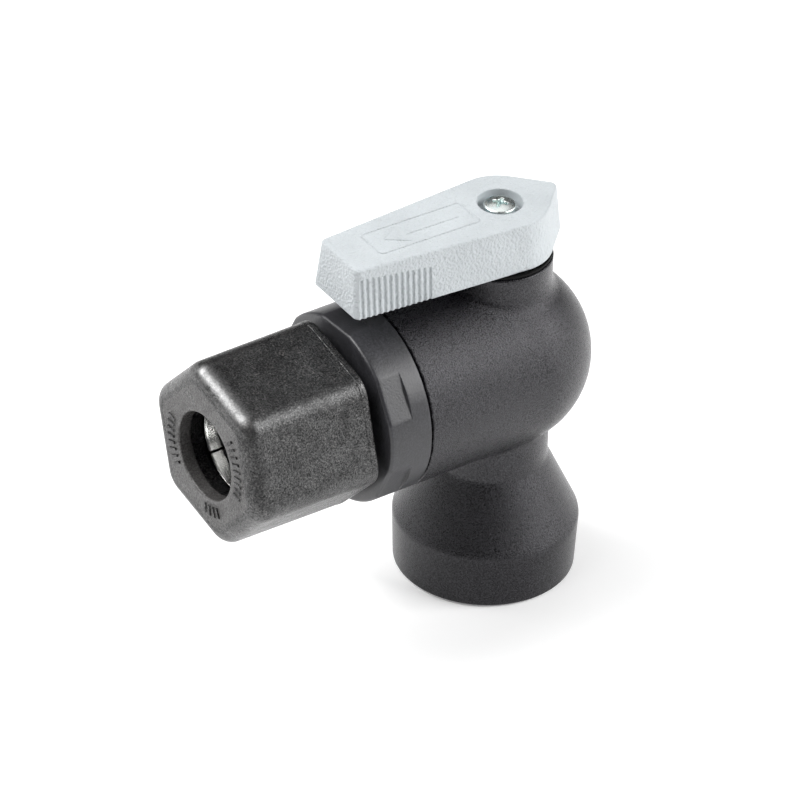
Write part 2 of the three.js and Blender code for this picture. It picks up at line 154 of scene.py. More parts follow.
def rounded(points, radii, steps=5, closed=True):
    """A polyline [r, t] with each corner rounded to its radius, as an array of points."""
    pts = [np.array(p, float) for p in points]
    n = len(pts)
    out = []
    for i in range(n):
        p = pts[i]
        rad = radii[i] if hasattr(radii, "__len__") else radii
        if not closed and i in (0, n - 1) or rad <= 0:
            out.append(p)
            continue
        a, b = pts[i - 1] - p, pts[(i + 1) % n] - p
        la, lb = np.linalg.norm(a), np.linalg.norm(b)
        a, b = a / la, b / lb
        half = math.acos(np.clip(a @ b, -1, 1)) / 2
        if half > math.radians(88):
            out.append(p)
            continue
        cut = min(rad / math.tan(half), 0.45 * la, 0.45 * lb)
        r = cut * math.tan(half)
        centre = p + (a + b) / np.linalg.norm(a + b) * (r / math.sin(half))
        s, e = p + a * cut - centre, p + b * cut - centre
        ang = math.acos(np.clip(s @ e / (r * r), -1, 1))
        for k in range(steps + 1):
            w = k / steps
            out.append(centre + (math.sin((1 - w) * ang) * s + math.sin(w * ang) * e) / math.sin(ang))
    return np.array(out)


def densify(profile, step, closed=True):
    """More points along the long edges of a polyline."""
    out = []
    n = len(profile)
    for i in range(n if closed else n - 1):
        p, q = profile[i], profile[(i + 1) % n]
        k = max(1, int(np.linalg.norm(q - p) / step))
        out += [p + (q - p) * w / k for w in range(k)]
    if not closed:
        out.append(profile[-1])
    return np.array(out)


def turned(name, axis, profile, material, body, node=None, n=128):
    """A solid of revolution from a closed profile [radius, place]."""
    a = np.linspace(0, 2 * np.pi, n, endpoint=False)
    r, t = profile[:, 0][:, None], profile[:, 1][:, None]
    pts = axis_points(axis, r + 0 * a, t + 0 * a, a[None, :] + 0 * r)
    v, f = wrap_mesh(pts)
    return make(name, v, outward(v, f), material, body, node)


def circle_profile(radius, minor, at, n=24):
    a = np.linspace(0, 2 * np.pi, n, endpoint=False)
    return np.stack([radius + minor * np.cos(a), at + minor * np.sin(a)], -1)


# Signed distances. r* is a rounded join, so that the moulded edges have a real radius.
def r_union(a, b, r):
    return np.maximum(r, np.minimum(a, b)) - np.hypot(np.maximum(r - a, 0), np.maximum(r - b, 0))


def r_max(a, b, r):
    return np.minimum(-r, np.maximum(a, b)) + np.hypot(np.maximum(a + r, 0), np.maximum(b + r, 0))


def ramp(u, w):
    return np.where(u < -w, 0.0, np.where(u > w, u, (u + w) ** 2 / (4 * w)))


def lines(lo, hi, h, fine=()):
    """Grid lines from lo to hi, h apart, and closer near the places in fine: (centre, half width, spacing)."""
    out = [lo]
    while out[-1] < hi:
        s = h
        for c, w, q in fine:
            d = abs(out[-1] - c)
            if d < w:
                s = min(s, q)
            elif d < w + 4 * h:
                s = min(s, q + (h - q) * (d - w) / (4 * h) + 0.02)
        out.append(out[-1] + s)
    return np.array(out)


def sdf_mesh(f, xs, ys, zs, rounds=5):
    """A closed mesh of quads on the surface f = 0, one point in each grid cell that the surface crosses, moved onto it."""
    nx, ny, nz = len(xs), len(ys), len(zs)
    F = np.empty((nx, ny, nz), np.float32)
    for i in range(0, nx, 12):
        X, Y, Z = np.meshgrid(xs[i:i + 12], ys, zs, indexing="ij")
        F[i:i + 12] = f(X, Y, Z)
    S = F < 0
    count = np.zeros((nx - 1, ny - 1, nz - 1), np.int8)
    corners = [(a, b, c) for a in (0, 1) for b in (0, 1) for c in (0, 1)]
    for a, b, c in corners:
        count += S[a:nx - 1 + a, b:ny - 1 + b, c:nz - 1 + c]
    act = (count > 0) & (count < 8)
    idx = np.full(act.shape, -1, np.int64)
    I, J, K = np.nonzero(act)
    idx[I, J, K] = np.arange(len(I))
    P = np.zeros((len(I), 3))
    W = np.zeros(len(I))
    val = {c: F[I + c[0], J + c[1], K + c[2]].astype(float) for c in corners}
    pos = {c: np.stack([xs[I + c[0]], ys[J + c[1]], zs[K + c[2]]], -1) for c in corners}
    for c in corners:
        for ax in range(3):
            if c[ax]:
                continue
            d = list(c)
            d[ax] = 1
            d = tuple(d)
            hit = (val[c] < 0) != (val[d] < 0)
            t = np.where(hit, val[c] / np.where(hit, val[c] - val[d], 1), 0)
            P += np.where(hit[:, None], pos[c] + (pos[d] - pos[c]) * t[:, None], 0)
            W += hit
    P /= W[:, None]
    quads = []
    for ax in range(3):
        sl0, sl1 = [slice(None)] * 3, [slice(None)] * 3
        sl0[ax], sl1[ax] = slice(0, -1), slice(1, None)
        a, b = S[tuple(sl0)], S[tuple(sl1)]
        u, v = [(1, 2), (2, 0), (0, 1)][ax]
        for flip in (False, True):
            hit = (a & ~b) if not flip else (~a & b)
            g = list(np.nonzero(hit))
            ok = (g[u] > 0) & (g[v] > 0) & (g[u] < act.shape[u]) & (g[v] < act.shape[v])
            g = [q[ok] for q in g]
            ring = []
            for du, dv in ((-1, -1), (0, -1), (0, 0), (-1, 0)):
                q = [w.copy() for w in g]
                q[u] = q[u] + du
                q[v] = q[v] + dv
                ring.append(idx[tuple(q)])
            quads.append(np.stack(ring if not flip else ring[::-1], -1))
    Q = np.concatenate(quads)
    Q = Q[(Q >= 0).all(1)]
    dx = np.array([np.diff(xs)[I], np.diff(ys)[J], np.diff(zs)[K]]).T
    e = 0.01
    for it in range(rounds):
        d = f(P[:, 0], P[:, 1], P[:, 2])
        g = np.stack([
            f(P[:, 0] + e, P[:, 1], P[:, 2]) - f(P[:, 0] - e, P[:, 1], P[:, 2]),
            f(P[:, 0], P[:, 1] + e, P[:, 2]) - f(P[:, 0], P[:, 1] - e, P[:, 2]),
            f(P[:, 0], P[:, 1], P[:, 2] + e) - f(P[:, 0], P[:, 1], P[:, 2] - e)], -1) / (2 * e)
        n2 = np.maximum((g * g).sum(1), 0.15)
        step = -(d / n2)[:, None] * g
        P = P + np.clip(step, -dx, dx)
    return P, Q


def thin(ob, ratio):
    """Fewer faces where the surface is flat."""
    m = ob.modifiers.new("thin", "DECIMATE")
    m.ratio = ratio
    dg = bpy.context.evaluated_depsgraph_get()
    me = bpy.data.meshes.new_from_object(ob.evaluated_get(dg))
    ob.modifiers.clear()
    old = ob.data
    ob.data = me
    bpy.data.meshes.remove(old)
    me.shade_smooth()


def join_into(name, parts, material, body, node=None):
    """One piece from several (verts, faces) pairs."""
    vs, fs, at = [], [], 0
    for v, f in parts:
        vs.append(np.asarray(v, float))
        fs += [tuple(int(k) + at for k in q) for q in f]
        at += len(v)
    return make(name, np.concatenate(vs), fs, material, body, node)


# ---- materials ---------------------------------------------------------------
def srgb(r, g, b):
    f = lambda c: c / 12.92 if c <= 0.04045 else ((c + 0.055) / 1.055) ** 2.4
    return (f(r / 255), f(g / 255), f(b / 255), 1.0)


class Mat:
    """A node material with short calls to add nodes."""

    def __init__(self, name):
        self.m = bpy.data.materials.new(name)
        self.m.use_nodes = True
        self.t = self.m.node_tree
        self.t.nodes.clear()
        self.out = self.t.nodes.new("ShaderNodeOutputMaterial")
        self.p = self.t.nodes.new("ShaderNodeBsdfPrincipled")
        self.link(self.p, 0, self.out, 0)
        self.co = self.t.nodes.new("ShaderNodeTexCoord")

    def link(self, a, i, b, j):
        self.t.links.new(a.outputs[i], b.inputs[j])

    def noise(self, scale, detail=2.0, rough=0.5, stretch=None, distort=0.0):
        n = self.t.nodes.new("ShaderNodeTexNoise")
        n.inputs["Scale"].default_value = scale
        n.inputs["Detail"].default_value = detail
        n.inputs["Roughness"].default_value = rough
        n.inputs["Distortion"].default_value = distort
        self._coords(n, stretch)
        return n

    def _coords(self, n, stretch=None):
        if stretch is None:
            self.t.links.new(self.co.outputs["Object"], n.inputs["Vector"])
            return
        mp = self.t.nodes.new("ShaderNodeMapping")
        mp.inputs["Scale"].default_value = stretch
        self.t.links.new(self.co.outputs["Object"], mp.inputs["Vector"])
        self.t.links.new(mp.outputs["Vector"], n.inputs["Vector"])

    def attribute(self, name):
        n = self.t.nodes.new("ShaderNodeAttribute")
        n.attribute_name = name
        return n

    def voronoi(self, scale, feature="F1", rand=1.0):
        n = self.t.nodes.new("ShaderNodeTexVoronoi")
        n.feature = feature
        n.inputs["Scale"].default_value = scale
        n.inputs["Randomness"].default_value = rand
        self._coords(n)
        return n

    def ramp(self, src, i, stops):
        r = self.t.nodes.new("ShaderNodeValToRGB")
        el = r.color_ramp.elements
        while len(el) < len(stops):
            el.new(0.5)
        for e, (at, col) in zip(el, stops):
            e.position = at
            e.color = col if len(col) == 4 else (*col, 1)
        self.link(src, i, r, 0)
        return r

    def span(self, src, i, lo, hi, a=0.0, b=1.0):
        r = self.t.nodes.new("ShaderNodeMapRange")
        for k, q in zip(("From Min", "From Max", "To Min", "To Max"), (a, b, lo, hi)):
            r.inputs[k].default_value = q
        self.t.links.new(src.outputs[i], r.inputs["Value"])
        return r

    def math(self, op, a, b):
        n = self.t.nodes.new("ShaderNodeMath")
        n.operation = op
        for k, q in enumerate((a, b)):
            if isinstance(q, tuple):
                self.t.links.new(q[0].outputs[q[1]], n.inputs[k])
            else:
                n.inputs[k].default_value = q
        return n

    def bump(self, src, i, strength, distance, below=None):
        b = self.t.nodes.new("ShaderNodeBump")
        if isinstance(strength, tuple):
            self.t.links.new(strength[0].outputs[strength[1]], b.inputs["Strength"])
        else:
            b.inputs["Strength"].default_value = strength
        b.inputs["Distance"].default_value = distance
        self.t.links.new(src.outputs[i], b.inputs["Height"])
        if below is not None:
            self.t.links.new(below.outputs["Normal"], b.inputs["Normal"])
        return b

    def set(self, **kw):
        for k, v in kw.items():
            self.p.inputs[k.replace("_", " ")].default_value = v
        return self

    def color(self, src, i):
        self.t.links.new(src.outputs[i], self.p.inputs["Base Color"])

    def rough(self, src, i):
        self.t.links.new(src.outputs[i], self.p.inputs["Roughness"])

    def normal(self, src):
        self.t.links.new(src.outputs["Normal"], self.p.inputs["Normal"])


def moulded_black(name, dark, light, rough, grain, grain_h, mottle=0.5, specular=0.5, depth=0.00008, varied=False):
    """Glass-filled black plastic: fine spark grain, faint flow mottling, roughness that follows both.
    A varied one has less grain where the attribute polish is 1."""
    k = Mat(name)
    fine = k.noise(grain, 3.0, 0.62)
    mott = k.noise(260.0, 4.0, 0.6, distort=0.6)
    mix = k.math("ADD", (k.math("MULTIPLY", (fine, 0), 1.0 - mottle), 0), (k.math("MULTIPLY", (mott, 0), mottle), 0))
    col = k.ramp(mix, 0, [(0.38, dark), (0.5, tuple(0.65 * a + 0.35 * b for a, b in zip(dark, light))), (0.64, light)])
    k.color(col, 0)
    k.rough(k.span(mix, 0, rough - 0.07, rough + 0.09, 0.3, 0.7), 0)
    b1 = k.bump(mott, 0, 0.06, 0.00012)
    power = grain_h
    if varied:
        left = k.span(k.attribute("polish"), 2, grain_h, 0.35 * grain_h)
        power = (left, 0)
    b2 = k.bump(fine, 0, power, depth, b1)
    k.normal(b2)
    k.set(Specular_IOR_Level=specular)
    if varied:
        # the bottom of the grain catches less light than its crests
        shine = k.span(fine, 0, 0.72 * specular, 1.3 * specular, 0.4, 0.6)
        shine = k.math("MULTIPLY", (shine, 0), (k.span(k.attribute("polish"), 2, 1.0, 0.74), 0))
        k.t.links.new(shine.outputs[0], k.p.inputs["Specular IOR Level"])
        k.set(Specular_Tint=(0.965, 0.955, 1.0, 1.0))
    return k.m


mat_body = moulded_black("black_body_plastic", srgb(5, 5, 6), srgb(35, 34, 38), 0.28, 4700.0, 1.0, mottle=0.15, depth=0.0001, varied=True, specular=0.5)
mat_conn = moulded_black("black_connector_plastic", srgb(36, 36, 38), srgb(56, 56, 60), 0.36, 3400.0, 0.5, mottle=0.4, depth=0.00005)
mat_stem = moulded_black("black_stem_plastic", srgb(30, 30, 32), srgb(44, 44, 46), 0.42, 3000.0, 0.15)
mat_spacer = moulded_black("black_spacer_plastic", srgb(30, 30, 31), srgb(44, 44, 45), 0.5, 3000.0, 0.2)


def nut_material():
    """Coarser black plastic, pitted on the flats and worn smooth on the front edge, where the attribute edge is 1."""
    k = Mat("black_nut_plastic")
    edge = k.attribute("edge")
    fine = k.noise(4000.0, 3.0, 0.68)
    coarse = k.noise(650.0, 5.0, 0.72, distort=0.8)
    streak = k.noise(420.0, 6.0, 0.75, stretch=(0.4, 1.0, 1.0), distort=1.2)
    pits = k.noise(3400.0, 2.0, 0.5)
    mix = k.math("ADD", (k.math("MULTIPLY", (fine, 0), 0.65), 0), (k.math("MULTIPLY", (coarse, 0), 0.35), 0))
    col = k.ramp(mix, 0, [(0.38, srgb(2, 2, 2)), (0.5, srgb(8, 8, 9)), (0.57, srgb(28, 27, 27)), (0.68, srgb(84, 80, 78))])
    # painted light: the blend below lightens the base colour towards grey on the nut's front face and, more, on the
    # mouth's lip, standing in for the lamps' light that falls there
    painted_face_light_mix = k.t.nodes.new("ShaderNodeMix")
    painted_face_light_mix.data_type = "RGBA"
    k.t.links.new(k.attribute("painted_face_light").outputs["Fac"], painted_face_light_mix.inputs["Factor"])
    k.t.links.new(col.outputs[0], painted_face_light_mix.inputs["A"])
    painted_face_light_mix.inputs["B"].default_value = srgb(88, 86, 85)
    k.t.links.new(painted_face_light_mix.outputs["Result"], k.p.inputs["Base Color"])
    k.rough(k.span(streak, 0, 0.22, 0.38, 0.3, 0.7), 0)
    left = k.span(edge, 2, 1.0, 0.35)
    k.t.links.new(k.math("MULTIPLY", (edge, 2), 0.9).outputs[0], k.p.inputs["Coat Weight"])
    k.set(Coat_IOR=1.85)
    # shine: low in the bottom of the grain, and in patches
    patch = k.noise(300.0, 4.0, 0.7, distort=0.5)
    shine = k.math("MULTIPLY", (k.span(fine, 0, 0.22, 0.98, 0.38, 0.6), 0), (k.span(patch, 0, 0.68, 1.24, 0.36, 0.62), 0))
    k.t.links.new(shine.outputs[0], k.p.inputs["Specular IOR Level"])
    k.t.links.new(k.span(streak, 0, 0.26, 0.5, 0.35, 0.65).outputs[0], k.p.inputs["Coat Roughness"])
    grain = k.math("ADD", (fine, 0), (k.math("MULTIPLY", (pits, 0), 0.5), 0))
    b0 = k.bump(streak, 0, 0.6, 0.00018)
    b1 = k.bump(coarse, 0, (k.math("MULTIPLY", (left, 0), 0.5), 0), 0.0001, b0)
    b2 = k.bump(grain, 0, (left, 0), 0.00010, b1)
    k.normal(b2)
    k.t.links.new(b0.outputs["Normal"], k.p.inputs["Coat Normal"])
    return k.m


def handle_material():
    """Grey plastic with a pebbled grain, smooth where the attribute polish is 1."""
    k = Mat("grey_handle_plastic")
    cell = k.voronoi(2700.0, "SMOOTH_F1")
    wob = k.noise(2500.0, 3.0, 0.6)
    soft = k.noise(120.0, 3.0, 0.5)
    col = k.ramp(soft, 0, [(0.3, srgb(176, 181, 184)), (0.7, srgb(186, 191, 194))])
    k.color(col, 0)
    k.rough(k.span(wob, 0, 0.5, 0.66, 0.3, 0.7), 0)
    h = k.math("ADD", (cell, 0), (k.math("MULTIPLY", (wob, 0), 1.1), 0))
    left = k.span(k.attribute("polish"), 2, 0.75, 0.08)
    b = k.bump(h, 0, (left, 0), 0.00021)
    k.normal(b)
    k.set(Specular_IOR_Level=0.45)
    return k.m


def zinc_material():
    k = Mat("zinc_plate")
    n = k.noise(700.0, 3.0, 0.6)
    fine = k.noise(5000.0, 2.0, 0.5)
    k.color(k.ramp(n, 0, [(0.3, srgb(196, 222, 226)), (0.5, srgb(236, 240, 238)), (0.7, srgb(222, 238, 232))]), 0)
    k.rough(k.span(fine, 0, 0.24, 0.38, 0.3, 0.7), 0)
    k.normal(k.bump(n, 0, 0.15, 0.00005))
    k.set(Metallic=1.0)
    return k.m


def steel_material():
    k = Mat("bright_stainless")
    brushed = k.noise(900.0, 3.0, 0.6, stretch=(8.0, 1.0, 1.0))
    k.color(k.ramp(brushed, 0, [(0.3, srgb(232, 232, 230)), (0.7, srgb(248, 248, 246))]), 0)
    k.rough(k.span(brushed, 0, 0.14, 0.24, 0.3, 0.7), 0)
    k.normal(k.bump(brushed, 0, 0.08, 0.00003))
    k.set(Metallic=1.0)
    return k.m


def plain_plastic(name, a, b, rough, scale=1500.0, bump=0.12, spec=0.5):
    k = Mat(name)
    n = k.noise(scale, 3.0, 0.55)
    k.color(k.ramp(n, 0, [(0.3, a), (0.7, b)]), 0)
    k.rough(k.span(n, 0, rough - 0.06, rough + 0.06, 0.3, 0.7), 0)
    k.normal(k.bump(n, 0, bump, 0.00005))
    k.set(Specular_IOR_Level=spec)
    return k.m


mat_nut = nut_material()
mat_handle = handle_material()
mat_zinc = zinc_material()
mat_steel = steel_material()
# the stop disc is black plastic, made near-black and matte beyond that as painted shade for the shadowed gap between
# the boss and the lever
mat_disc_painted_shade = plain_plastic("black_disc_painted_shade", srgb(3, 3, 3), srgb(8, 8, 8), 0.6, spec=0.12)
mat_ball = plain_plastic("black_ball_plastic", srgb(40, 40, 43), srgb(52, 52, 55), 0.22, 900.0, 0.05)
mat_seat = plain_plastic("white_seat_plastic", srgb(228, 226, 218), srgb(240, 238, 231), 0.45, 700.0)
mat_washer = plain_plastic("white_washer_plastic", srgb(222, 219, 207), srgb(234, 231, 220), 0.5, 900.0)
mat_rubber = plain_plastic("black_rubber", srgb(18, 18, 18), srgb(28, 28, 28), 0.72, 2400.0, 0.3, 0.35)

# ---- valve body ---------------------------------------------------------------
def seam_wave(a):
    return 0.025 * np.sin(9 * a + 0.6) + 0.03 * np.sin(23 * a + 2.1) + 0.035 * np.sin(41 * a) + 0.03 * np.sin(67 * a + 1.3)


def body_distance(x, y, z):
    zz = z - H
    rr = np.hypot(y, zz)
    barrel = np.where(x > 0, np.sqrt(np.maximum(x, 0) ** 2 + rr * rr), rr) - R_BARREL
    rho = np.hypot(x, y)
    boss = np.maximum(rho - BOSS_R, 30.0 - z)
    R = 13.0 + 0.0444 * z + (-0.4852 - 0.0444) * ramp(z - 8.1, 0.45) + 0.4852 * ramp(z - 18.26, 0.3)
    slope = 0.0444 + (-0.4852 - 0.0444) * (z > 8.1) + 0.4852 * (z > 18.26)
    neck = np.maximum((rho - R) / np.sqrt(1 + slope * slope), z - 33.0)
    d = r_union(barrel, boss, 1.1)
    d = r_union(d, neck, 0.75)
    d = r_max(d, z - BOSS_Z, 0.22)
    ang = np.arctan2(zz, y)
    d = r_max(d, SEAM + 0.12 + seam_wave(ang) - x, 0.17)
    d = r_max(d, -z, 0.28)
    # stop lug
    la = np.degrees(np.arctan2(y, x)) + 43.0
    lug = r_max(r_max(np.abs(rho - 5.22) - 0.47, np.abs(la) * rho * 0.01745 - 0.9, 0.12), z - 54.2, 0.12)
    lug = np.maximum(lug, 51.0 - z)
    d = np.minimum(d, lug)
    # chambers along the barrel
    cav = np.minimum(r_max(rr - 10.5, x + 5.1, 0.1), r_max(rr - 8.7, x - 5.1, 0.1))
    cav = np.minimum(cav, r_max(rr - 7.9, x - 9.2, 0.2))
    # stem hole
    stem = r_max(rho - 5.2, z - 46.4, 0.1)
    stem = np.maximum(stem, 37.0 - z)
    stem = np.minimum(stem, np.maximum(rho - 3.88, 37.0 - z))
    # waterway and threaded socket
    flow = np.maximum(rho - 4.8, z - 33.0)
    taper = z / 32.0
    th = np.arctan2(y, x) / (2 * np.pi)
    ph = (z - 1.3) / PITCH - th
    w = np.abs(ph - np.round(ph)) * PITCH                      # distance along the axis from the ridge's middle
    ridge = np.clip((0.80 - w) / 0.62, 0, 1)
    fade = np.clip((z - 0.9) / 1.0, 0, 1) * np.clip((11.3 - z) / 1.0, 0, 1)
    bore = 10.62 - taper - 1.02 * ridge * fade
    bore = np.maximum(bore, 10.62 + 0.5 - np.maximum(z, 0) * 1.0 - 0.0)
    thread = r_max((rho - bore) * 0.78, z - 11.7, 0.2)
    cone = (rho - (4.8 + np.clip(14.3 - z, 0, 3.0) * 1.55)) * 0.55
    cone = np.maximum(cone, z - 14.3)
    hollow = np.minimum(np.minimum(cav, stem), np.minimum(np.minimum(flow, thread), np.maximum(cone, 11.0 - z)))
    return r_max(d, -hollow, 0.12)


def build_body():
    h = 0.27
    xs = lines(-20.4, 14.3, h, [(-19.9, 0.35, 0.07)])
    ys = lines(-14.2, 14.2, h)
    zs = lines(-0.35, 54.7, h, [(0.1, 0.4, 0.09), (52.0, 0.35, 0.09)])
    v, f = sdf_mesh(body_distance, xs, ys, zs)
    ob = make("body_shell", v, f, mat_body, "valve", "valve_body")
    if 2 * len(f) > 190000:
        thin(ob, 180000 / (2 * len(f)))
    z = points_of(ob)[:, 2]
    low = np.clip((8.6 - z) / 1.0, 0, 1)
    high = np.clip((z - 50.0) / 0.6, 0, 1) * 0.6
    mark(ob, "polish", np.maximum(low, high))
    print("body", len(f))
    return ob


build_body()

# ---- end connector: a polar skin round the barrel axis -------------------------
def thread_ridge(x, ang, start, lo, hi, base, crest, fade_len=1.0):
    """0 to 1 across a right-hand ridge, from its foot to its crest."""
    ph = (x - start) / PITCH - ang / (2 * np.pi)
    w = np.abs(ph - np.round(ph)) * PITCH
    r = np.clip((base - w) / (base - crest), 0, 1)
    r = r * r * (3 - 2 * r) * 0.35 + r * 0.65
    return r * np.clip((x - lo) / fade_len, 0, 1) * np.clip((hi - x) / fade_len, 0, 1)


def flat_radius(ang, x):
    """Radius of the flange with its six wrench flats."""
    k = np.radians(60.0)
    a = (ang - np.radians(147.2) + k / 2) % k - k / 2
    return 13.44 / np.cos(a)


def build_connector():
    n = 450
    a = np.linspace(0, 2 * np.pi, n, endpoint=False)[None, :]
    # outer and inner outline as one closed profile [radius, x]; the low step at x -19.7 is the weld
    prof = [
        (9.1, -39.4), (9.4, -39.15), (9.4, FLANGE_X), (13.85, FLANGE_X), (13.85, -20.2), (13.4, -20.2), (13.3, -19.7), (10.2, -19.7), (10.2, -16.95),
        (8.75, -16.95), (8.75, -15.05), (10.2, -15.05), (10.2, -5.4), (7.9, -5.4), (7.9, -9.2), (4.8, -9.2), (4.8, -28.5),
        (6.45, -28.5), (6.45, -34.9), (8.65, -34.9), (8.65, -39.4)]
    rad = [0.15, 0.1, 0.25, 0.5, 0.14, 0.05, 0.08, 0.2, 0.1, 0.1, 0.1, 0.1, 0.2, 0.15, 0.1, 0.2, 0.15, 0.1, 0.25, 0.1, 0.25]
    p = rounded(prof, rad, 5)
    # close stations along the thread and the flats
    out = []
    m = len(p)
    for i in range(m):
        q0, q1 = p[i], p[(i + 1) % m]
        step = 3.0
        if abs(q0[0] - 9.4) < 0.02 and abs(q1[0] - 9.4) < 0.02:
            step = 0.2
        elif q0[0] > 13.8 and q1[0] > 13.8:
            step = 0.35
        k = max(1, int(np.linalg.norm(q1 - q0) / step))
        out += [q0 + (q1 - q0) * w / k for w in range(k)]
    p = np.array(out)
    # extra stations at the end wall of the flats
    i = [j for j in range(len(p) - 1) if p[j, 0] > 13.8 and p[j + 1, 0] > 13.8 and p[j, 1] <= -23.2 < p[j + 1, 1]][0]
    extra = np.array([[13.85, -23.2 + d] for d in (-0.10, -0.05, -0.02, 0.0, 0.03, 0.07, 0.12)])
    keep = np.abs(p[:, 1] + 23.2) > 0.14
    keep |= p[:, 0] < 13.8
    head, tail = p[:i + 1][keep[:i + 1]], p[i + 1:][keep[i + 1:]]
    p = np.concatenate([head, extra, tail])
    r, x = p[:, :1], p[:, 1:]
    R = r + 0 * a
    X = x + 0 * a
    on_barrel = (np.abs(r - 9.4) < 0.02) & (x < FLANGE_X)
    R = np.where(on_barrel, R + 0.85 * thread_ridge(X, a + 0 * X, -38.6, -39.2, -30.2, 0.66, 0.22), R)
    # flats: full depth in front of the end wall, then back to the round over a short step
    depth = np.clip((-23.12 - X) / 0.10, 0, 1)
    depth = depth * depth * (3 - 2 * depth)
    fr = flat_radius(a, X)
    rim = (r > 12.5) & (x < -20.3)
    inset = 13.85 - r                      # how far the front rounding has drawn the outline in
    cut = np.minimum(R, fr - np.maximum(inset, 0) * 0.9)
    R = np.where(rim, R + (cut - R) * depth, R)
    pts = axis_points("x", R, X, a + 0 * R)
    v, f = wrap_mesh(pts)
    ob = make("connector_shell", v, outward(v, f), mat_conn, "valve", "end_connector", smooth_angle=38)
    print("connector", len(f))
    return ob


build_connector()

# ---- compression nut ------------------------------------------------------------
def hex_radius(ang, apothem, corner):
    k = np.radians(60.0)
    a = np.abs((ang - np.radians(-17.3) + k / 2) % k - k / 2)
    reach = (apothem - corner) / math.cos(math.radians(30))
    edge = np.arctan2((apothem - corner) * math.tan(math.radians(30)), apothem)
    d = math.radians(30) - a
    return np.where(a < edge, apothem / np.cos(a), reach * np.cos(d) + np.sqrt(np.maximum(corner ** 2 - (reach * np.sin(d)) ** 2, 0)))


def build_nut():
    n = 528
    a = np.linspace(0, 2 * np.pi, n, endpoint=False)
    rows = []                                   # each row: radius for every angle, and x
    def outer(x, inset, corner):
        ap = 12.09 + (12.24 - 12.09) * (x - NUT_A) / (NUT_B - NUT_A) - inset - 0.05 * min(1.0, max(0.0, (-29.68 - x) / 0.08))
        rows.append((hex_radius(a, ap, corner), x))
    # back edge, side, front rounding
    for t in np.linspace(0, 1, 5):
        s = math.pi / 2 * t
        outer(NUT_B - 0.35 * (1 - math.cos(s)), 0.35 * (1 - math.sin(s)), 3.5)
    for x in [NUT_B - 0.7, NUT_B - 1.0, -29.66, -29.70, -29.74, -29.78, -29.9] + list(np.linspace(-30.2, NUT_A + 2.9, 24)):
        outer(x, 0.0, 3.5)
    e = 2.35
    plain = len(rows)
    for t in np.linspace(0, 1, 17):
        s = math.pi / 2 * t
        inset = e * (1 - math.cos(s))
        outer(NUT_A + e * (1 - math.sin(s)), inset, 3.5 - 0.62 * inset)
    # flat front face, from the hexagon to the round mouth
    round_rows = len(rows)
    rim = rows[-1][0]
    mouth = 6.45 + 0.28
    for t in (0.08, 0.3, 0.55, 0.8, 0.94):
        rows.append((rim * (1 - t) + mouth * t, NUT_A))
    lip_row = len(rows)
    for s in np.linspace(0, math.pi / 2, 5):
        rows.append((np.full(n, mouth - 0.28 * math.sin(s)), NUT_A + 0.28 * (1 - math.cos(s))))
    def ring(r, x):
        rows.append((np.full(n, float(r)), x))
    ring(6.46, NUT_A + 1.2)
    lip_end = len(rows) + 3
    for r, x in rounded([(6.45, NUT_A + 1.6), (6.45, -46.6), (6.8, -46.6), (6.8, -44.5), (7.4, -44.5), (9.0, -41.6), (10.65, -40.7), (10.65, -40.4)],
                        [0, 0.15, 0.08, 0.1, 0.1, 0.3, 0.2, 0], 3, closed=False):
        ring(r, x)
    for x in np.arange(-40.3, NUT_B - 0.6, 0.13):
        rg = thread_ridge(x, a, -38.6 + 0.5 * PITCH, -40.5, -29.2, 0.56, 0.18)
        rows.append((10.65 - 0.95 * rg, x))
    ring(10.65, NUT_B - 0.55)
    ring(11.0, NUT_B - 0.12)
    ring(11.12, NUT_B)
    back = hex_radius(a, 12.24 - 0.35, 3.5)
    rows.append((back * 0.6 + 11.12 * 0.4, NUT_B))
    worn = [0.0] * plain + [math.sin(math.pi * (i + 1) / 15) ** 0.5 if i < 14 else 0.0 for i in range(round_rows - plain)]
    worn += [0.0] * (len(rows) - len(worn))
    R = np.array([r for r, _ in rows])
    X = np.array([x for _, x in rows])[:, None] + 0 * R
    pts = axis_points("x", R, X, a[None, :] + 0 * R)
    v, f = wrap_mesh(pts)
    parts = [(v, outward(v, f))]
    corner = np.exp(-(((np.degrees(a) + 17.3 - 30.0 + 30.0) % 60.0 - 30.0) / 5.5) ** 2)
    side = np.array([1.0 if i < plain else 0.0 for i in range(len(rows))])
    # the front edge is worn most along the top flat, at 102.7 degrees
    away = np.abs((np.degrees(a) - 102.7 + 180.0) % 360.0 - 180.0)
    top = 0.15 + 0.85 * np.clip((37.0 - away) / 8.0, 0, 1)
    worn = np.maximum(np.array(worn)[:, None] * top[None, :] + 0 * R, 0.3 * side[:, None] * corner[None, :])
    # short raised bars round the mouth, in place of lettering
    for mid, count in ((165.0, 9), (-12.0, 8), (-105.0, 4)):
        for j in range(count):
            parts.append(tick(math.radians(mid + (j - (count - 1) / 2) * 7.2), 7.5, 9.05, 0.17, 0.2))
    ob = join_into("nut_shell", parts, mat_nut, "nut", "compression_nut")
    mark(ob, "edge", worn.ravel())
    # painted light: how far the base colour is lightened towards grey, 0.34 on the front face and 0.55 on the mouth's
    # lip, for the lamps' light falling there
    painted_face_light = np.array([0.0] * round_rows + [0.34] * (lip_row - round_rows) + [0.55] * (lip_end - lip_row) + [0.0] * (len(rows) - lip_end))
    mark(ob, "painted_face_light", (painted_face_light[:, None] + 0 * R).ravel())
    ob.data.set_sharp_from_angle(angle=math.radians(40))
    print("nut", len(f))
    return ob


